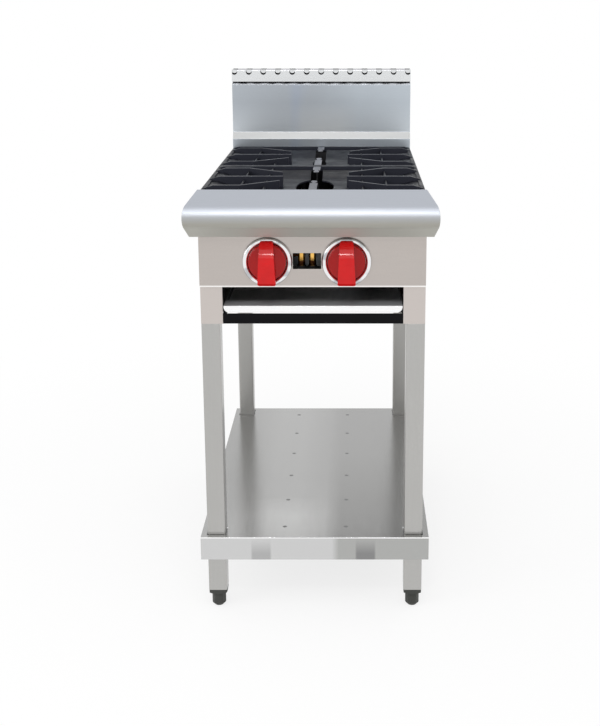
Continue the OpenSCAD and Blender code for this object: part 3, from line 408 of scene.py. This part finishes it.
def tray_steel():
    """The tray, polished along its front strip, with painted shade behind the strip and deeper painted
    shade in the gap just behind it, and dull on its level faces.
    """
    polished, dull = (1.0, 1.0, 1.0), (0.60, 0.61, 0.63)
    shade_tone, gap_shade_tone = (0.10, 0.10, 0.11), (0.008, 0.008, 0.009)
    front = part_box("tray_front")[0].y
    strip_back, gap_back = front + 0.0012, front + 0.0020
    steel = satin_steel("tray_steel", polished, roughness=0.22, grain=ALONG_X, wear=0.4)
    y = steel.axis("Y")
    # Painted shade on the faces behind the strip, and deeper painted shade in the gap just behind it
    steel.tint(steel.rise(y, start=front + 0.0008, end=strip_back), shade_tone)
    steel.tint(steel.between(y, strip_back, gap_back), gap_shade_tone)
    level = steel.rise(steel.slope(), start=0.5, end=0.9)
    steel.tint(level, dull)
    steel.roughen(level, roughness=0.45)
    metallic = steel.ranged(level, low=1.0, high=0.35, start=0.0, end=1.0)
    steel.put(metallic, steel.shader.inputs["Metallic"])
    return steel


def shelf_steel():
    """The shelf, with a slow change of tone, painted shade and painted reflections across its top,
    painted shade in the spot weld dimples, a painted highlight along its fold, and a front lip painted
    lighter as lit faces.
    """
    steel = satin_steel("shelf_steel", (0.44, 0.44, 0.435), roughness=0.22, grain=ALONG_Y, wear=0.5)
    x, y, z = (steel.axis(name) for name in "XYZ")
    shelf_top_tones(steel, x, y)
    shelf_lip_tones(steel, x, y, z)
    shelf_lines(steel, x, y, z)
    return steel


def shelf_top_tones(steel, x, y):
    """Painted shade darkens the top towards the back, a painted reflection darkens it to the right, and a
    pale painted reflection lies on the left of its front.
    """
    back_shade_tone, pale_reflection_tone, right_reflection_tone = (0.375, 0.375, 0.37), (0.56, 0.56, 0.555), (0.315, 0.315, 0.31)
    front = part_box("undershelf")[0].y
    # Painted shade: the top darkens towards the back
    steel.tint(steel.rise(y, start=front + 0.05, end=front + 0.30), back_shade_tone)
    # Painted reflection: a pale streak on the left of the front
    reflection_band = steel.near(x, middle=-0.075, reach=0.03, blur=0.09)
    reflection_band_fade = steel.ranged(y, low=1.0, high=0.3, start=front + 0.10, end=front + 0.20)
    steel.tint(steel.both(reflection_band, reflection_band_fade), pale_reflection_tone)
    # Painted reflection: the top darkens to the right
    right = steel.rise(x, start=0.02, end=0.055)
    right_fade = steel.ranged(y, low=1.0, high=0.4, start=front + 0.18, end=front + 0.45)
    steel.tint(steel.both(right, right_fade), right_reflection_tone)


def shelf_lip_tones(steel, x, y, z):
    """The turned-down edge is painted paler as lit faces, and in front it has a darker painted reflection
    on the right and two patches of painted reflection.

    patches gives the middle and the grey tone of each.
    """
    lit_lip_tone, right_reflection_tone = (0.63, 0.63, 0.63), (0.44, 0.443, 0.432)
    # Patches of painted reflection: the middle and the grey tone of each
    patches = ((-0.112, 0.46), (0.106, 0.27))
    low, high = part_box("undershelf")
    # Painted light: the upright lip is paler than the level top
    lip = steel.fall(steel.slope(), start=0.2, end=0.6)
    steel.tint(lip, lit_lip_tone)
    # Painted reflection on the front of the lip: darker on the right, and two grey patches lower down
    front = steel.both(lip, steel.fall(y, start=low.y + 0.001, end=low.y + 0.002))
    steel.tint(steel.both(front, steel.rise(x, start=0.036, end=0.050)), right_reflection_tone)
    lower = steel.ranged(z, low=1.0, high=0.1, start=high.z - 0.036, end=high.z - 0.007)
    for middle, tone in patches:
        reflection_patch = steel.near(x, middle, reach=0.018, blur=0.004)
        steel.tint(steel.both(front, lower, reflection_patch), (tone, tone, tone))


def shelf_lines(steel, x, y, z):
    """The painted highlight along the fold of the front edge, and painted shade in the hollows of the
    spot weld dimples.
    """
    highlight_tone, shade_tone = (0.95, 0.95, 0.95), (0.20, 0.20, 0.20)
    fold_height, fold_depth = 0.0022, 0.0012
    mark_top, mark_foot, mark_reach = 0.0002, 0.0006, 0.09
    low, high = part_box("undershelf")
    # Painted highlight along the fold of the front edge
    fold = steel.both(
        steel.between(z, high.z - fold_height, high.z),
        steel.between(y, low.y, low.y + fold_depth),
    )
    steel.tint(fold, highlight_tone)
    # Painted shade in the hollows of the spot weld dimples
    dimple_shade = steel.both(
        steel.between(z, high.z - mark_foot, high.z - mark_top),
        steel.between(x, -mark_reach, mark_reach),
    )
    steel.tint(dimple_shade, shade_tone)


def duct_share(steel):
    """1 inside the flue duct, behind the fold of its front sheet and within its outer faces."""
    skin, fold, foot = 0.0006, 0.0155, 0.5
    low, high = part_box("riser_cap")
    x, y, z = (steel.axis(name) for name in "XYZ")
    return steel.both(
        steel.between(x, low.x + skin, high.x - skin),
        steel.between(y, low.y + fold, high.y - skin),
        steel.between(z, foot, high.z - skin),
    )


def body_steel():
    """The riser and the back, bluish, with a slow change of tone, painted shade and painted reflections
    on the riser, a greyer bevel from painted shade, a painted highlight under its cap, and soot with
    painted shade in the duct.
    """
    steel = satin_steel("body_steel", (0.58, 0.635, 0.69), roughness=0.34, grain=ALONG_X)
    x, z = steel.axis("X"), steel.axis("Z")
    riser_painted_light(steel, x, z)
    slope_painted_light(steel)
    # Soot and painted shade inside the flue duct
    steel.tint(duct_share(steel), SOOT_AND_SHADE)
    return steel


def riser_painted_light(steel, x, z):
    """Painted shade darkens the left, with a thin painted reflection streak, and painted light makes it
    paler just above the bevel, with a warmer painted reflection there.
    """
    left_shade_tone, reflection_streak_tone = (0.455, 0.49, 0.53), (0.43, 0.475, 0.545)
    painted_foot_tone, warm_reflection_tone = (0.78, 0.83, 0.87), (0.72, 0.73, 0.72)
    wave_depth = 0.10
    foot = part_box("riser_front")[0].z
    waves = steel.noise(per_metre=8, stretch=(1, 1, 0.4), detail=2)
    place = steel.math("ADD", x, steel.math("MULTIPLY", waves, wave_depth))
    # Painted shade on the left, and a thin painted reflection streak
    steel.tint(steel.fall(place, start=0.02, end=0.14), left_shade_tone)
    steel.tint(steel.near(place, middle=-0.010, reach=0.006, blur=0.020), reflection_streak_tone)
    lower = steel.both(
        steel.ranged(z, low=0.5, high=0.0, start=foot + 0.05, end=foot + 0.12),
        steel.rise(z, start=foot + 0.040, end=foot + 0.044),
    )
    # Painted light just above the bevel
    steel.tint(lower, painted_foot_tone)
    # Warmer painted reflection just above the bevel
    steel.tint(steel.both(lower, steel.near(place, middle=0.06, reach=0.02, blur=0.06)), warm_reflection_tone)


def slope_painted_light(steel):
    """Painted shade dims the lamp's reflection on the bevel at the foot of the riser, and a painted
    highlight makes the slope under its cap paler.
    """
    bevel_shade_tone, under_cap_highlight_tone = (0.35, 0.355, 0.355), (0.66, 0.68, 0.72)
    slope = steel.slope()
    # Painted shade on the bevel, and a painted highlight on the slope under the cap
    steel.tint(steel.near(slope, middle=0.50, reach=0.08, blur=0.06), bevel_shade_tone)
    steel.tint(steel.near(slope, middle=0.62, reach=0.03, blur=0.03), under_cap_highlight_tone)


def bright_steel():
    """The cap of the riser, darker on its level faces as painted shade, with soot and painted shade
    inside the duct.
    """
    front_tone, level_shade_tone = (0.77, 0.785, 0.795), (0.47, 0.47, 0.50)
    steel = satin_steel("bright_steel", front_tone, roughness=0.26, grain=ALONG_X, wear=0.25)
    # Painted shade on the level faces of the cap
    steel.tint(steel.rise(steel.slope(), start=0.1, end=0.4), level_shade_tone)
    # Soot and painted shade inside the flue duct
    steel.tint(duct_share(steel), SOOT_AND_SHADE)
    return steel


def panel_steel():
    """The control panel and the side panels, slightly warm.

    The fold along the foot of the panel is paler as a painted highlight, and the faces of the posts below
    it are paler as painted light.
    """
    post_light_tone, fold_highlight_tone = (0.62, 0.57, 0.54), (0.95, 0.93, 0.91)
    margin, fold_height, fold_depth = 0.001, 0.0030, 0.0010
    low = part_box("control_panel")[0]
    steel = satin_steel("panel_steel", (0.55, 0.505, 0.475), roughness=0.36, grain=ALONG_X, wear=0.6)
    y, z = steel.axis("Y"), steel.axis("Z")
    post = front_plane()
    # Painted light: the faces of the posts below the panel are paler
    posts = steel.both(
        steel.fall(z, start=low.z - margin, end=low.z),
        steel.between(y, post - margin, post + margin),
    )
    steel.tint(posts, post_light_tone)
    # Painted highlight along the fold at the foot of the panel
    fold = steel.both(
        steel.between(z, low.z, low.z + fold_height),
        steel.between(y, low.y, low.y + fold_depth),
    )
    steel.tint(fold, fold_highlight_tone)
    return steel


def ledge_steel():
    """The front ledge, bluish on top, with painted shade on the lower nose and a duller, warmer painted
    reflection on the underside.
    """
    top_tone, nose_shade_tone, under_reflection_tone = (0.485, 0.51, 0.56), (0.42, 0.41, 0.37), (0.60, 0.595, 0.55)
    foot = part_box("front_ledge")[0].z
    steel = satin_steel("ledge_steel", top_tone, roughness=0.42, grain=ALONG_X, wear=0.6)
    z = steel.axis("Z")
    # Painted shade on the lower part of the nose
    steel.tint(steel.fall(z, start=foot + 0.030, end=foot + 0.052), nose_shade_tone)
    # Painted reflection on the underside, which is also rougher
    under = steel.fall(z, start=foot + 0.019, end=foot + 0.026)
    steel.tint(under, under_reflection_tone)
    steel.roughen(under, roughness=0.62)
    return steel


def strip_steel():
    """The strips in the centre slot. The posts and the carrier below them are darker as painted shade."""
    strip_tone, below_shade_tone = (0.150, 0.152, 0.175), (0.08, 0.08, 0.085)
    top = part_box("burner_carrier")[1].z
    steel = satin_steel("strip_steel", strip_tone, roughness=0.4, grain=ALONG_Y)
    # Painted shade on the posts and the carrier below the strips
    steel.tint(steel.fall(steel.axis("Z"), start=top - 0.004, end=top - 0.003), below_shade_tone)
    return steel


def cast_iron(name, color, roughness, gloss=0.20):
    paler = 1.9
    iron = Finish(name, color, roughness, Specular_IOR_Level=gloss)
    grains = iron.noise(per_metre=900, detail=5)
    patches = iron.noise(per_metre=22, detail=4)
    iron.vary_color(patches, shade(color, paler))
    iron.vary_roughness(patches, spread=0.10)
    iron.bump(grains, height=0.00012)
    return iron


def grate_iron():
    """The grates, a little paler on their upright faces as a painted sheen and along the tops of the
    prongs as a painted highlight.
    """
    upright_sheen_tone, top_tone = (0.034, 0.036, 0.049), (0.075, 0.078, 0.090)
    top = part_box("grate_front")[1].z
    iron = cast_iron("grate_iron", (0.004, 0.0045, 0.0075), roughness=0.42, gloss=0.12)
    slope = iron.slope()
    # Painted sheen on the upright faces
    iron.tint(iron.fall(slope, start=0.2, end=0.6), upright_sheen_tone)
    # Painted highlight along the tops of the prongs
    iron.tint(iron.both(slope, iron.rise(iron.axis("Z"), start=top - 0.003, end=top - 0.001)), top_tone)
    return iron


def painted(name, color, roughness, gloss=0.3):
    dusty = 1.4
    paint = Finish(name, color, roughness, Specular_IOR_Level=gloss)
    peel = paint.noise(per_metre=260, detail=2)
    dust = paint.noise(per_metre=14, detail=4)
    paint.vary_color(dust, shade(color, dusty))
    paint.vary_roughness(dust, spread=0.08)
    paint.bump(peel, height=0.00003)
    return paint


def turned_metal(name, color, roughness):
    """Machined brass or copper, browner in places."""
    brown = tuple(c * kept for c, kept in zip(color, (0.78, 0.68, 0.55)))
    metal = Finish(name, color, roughness, metallic=1.0)
    tone = metal.noise(per_metre=60, detail=4)
    lines = metal.noise(per_metre=1500, stretch=(0.1, 1, 0.1), detail=2)
    metal.vary_color(tone, brown)
    metal.vary_roughness(tone, spread=0.1)
    metal.bump(lines, height=0.00001)
    return metal


def brass():
    """Brass, with brown spots on the bodies of the pilot valves."""
    spot_tone = (0.30, 0.10, 0.04)
    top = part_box("pilot_valve_left")[1].z
    metal = turned_metal("brass", (0.95, 0.58, 0.16), roughness=0.24)
    body = metal.fall(metal.axis("Z"), start=top - 0.017, end=top - 0.012)
    spots = metal.both(body, metal.noise(per_metre=170, detail=3))
    metal.tint(metal.rise(spots, start=0.30, end=0.45), spot_tone)
    return metal


def moulded(name, color, roughness, texture, **sockets):
    """Moulded plastic. texture is the depth of its surface texture in metres."""
    darker = 0.86
    plastic = Finish(name, color, roughness, **sockets)
    grains = plastic.noise(per_metre=1400, detail=2)
    tone = plastic.noise(per_metre=30, detail=3)
    plastic.vary_color(tone, shade(color, darker))
    plastic.vary_roughness(tone, spread=0.04)
    plastic.bump(grains, height=texture)
    return plastic


def red_knob():
    """Red plastic, darker at the upper end of the bar and on the disc behind it, as painted shade."""
    upper_shade_tone, disc_shade_tone = (0.66, 0.005, 0.006), (0.42, 0.002, 0.002)
    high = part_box("knob_left")[1]
    plastic = moulded("red_knob", (0.82, 0.008, 0.010), roughness=0.30, texture=0.000006,
                      Specular_IOR_Level=0.0, Coat_Weight=0.6, Coat_Roughness=0.07)
    disc = plastic.rise(plastic.axis("Y"), start=high.y - 0.012, end=high.y - 0.007)
    # Painted shade at the upper end of the bar
    plastic.tint(plastic.rise(plastic.axis("Z"), start=high.z - 0.034, end=high.z - 0.018), upper_shade_tone)
    # Painted shade on the disc behind the bar
    plastic.tint(disc, disc_shade_tone)
    return plastic


def bezel_chrome():
    """Chrome with a haze, with a painted shadow where it meets the panel."""
    haze_tone, painted_foot_tone = (0.52, 0.53, 0.55), (0.06, 0.06, 0.065)
    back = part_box("bezel_left")[1].y
    plate = Finish("bezel_chrome", (0.86, 0.86, 0.87), roughness=0.08, metallic=1.0)
    haze = plate.noise(per_metre=34, detail=2)
    plate.vary_color(haze, haze_tone, start=0.50, end=0.62)
    plate.vary_roughness(haze, spread=0.04)
    # Painted shadow where the ring meets the panel
    plate.tint(plate.rise(plate.axis("Y"), start=back - 0.0035, end=back - 0.0020), painted_foot_tone)
    return plate


def make_materials():
    made = [
        leg_steel(),
        zinc_steel(),
        tray_steel(),
        shelf_steel(),
        body_steel(),
        bright_steel(),
        panel_steel(),
        ledge_steel(),
        strip_steel(),
        brass(),
        red_knob(),
        bezel_chrome(),
        painted("dark_steel", (0.005, 0.005, 0.006), roughness=0.5, gloss=0.08),
        painted("gas_pipe", (0.02, 0.02, 0.022), roughness=0.5),
        moulded("grey_plastic", (0.070, 0.072, 0.066), roughness=0.5, texture=0.00005,
                Specular_IOR_Level=0.3),
        turned_metal("copper", (0.72, 0.30, 0.14), roughness=0.3),
        cast_iron("burner_iron", (0.012, 0.012, 0.013), roughness=0.6),
        grate_iron(),
    ]
    return {finish.name: finish.material for finish in made}


# Dressing of the frame

def round_edges(obj, width, smooth_below):
    """Joins the flat facets of a node's mesh, rounds its sharp edges and smooths its shading."""
    weld = obj.modifiers.new("weld", "WELD")
    weld.merge_threshold = SAME_POINT
    flat = obj.modifiers.new("flat", "DECIMATE")
    flat.decimate_type = "DISSOLVE"
    flat.angle_limit = math.radians(SAME_FACE)
    if width > 0:
        bevel = obj.modifiers.new("bevel", "BEVEL")
        bevel.width = width
        bevel.segments = EDGE_STEPS
        bevel.limit_method = "ANGLE"
        bevel.angle_limit = math.radians(smooth_below)
        bevel.use_clamp_overlap = True
        bevel.harden_normals = False
    normals = obj.modifiers.new("normals", "WEIGHTED_NORMAL")
    normals.keep_sharp = True
    for face in obj.data.polygons:
        face.use_smooth = True


def dress_frame(materials):
    for part in frame["record"]["subparts"]:
        obj = nodes[part["node"]]
        slot = part["material_slot"]
        obj.data.materials.clear()
        obj.data.materials.append(materials[slot])
        round_edges(obj, EDGE[slot], SMOOTH_BELOW_ON.get(slot, SMOOTH_BELOW))


bpy.context.scene.view_settings.view_transform = "Standard"
make_camera()
make_world()
for light in LIGHTS:
    area_light(*light)
make_floor()
dress_frame(make_materials())
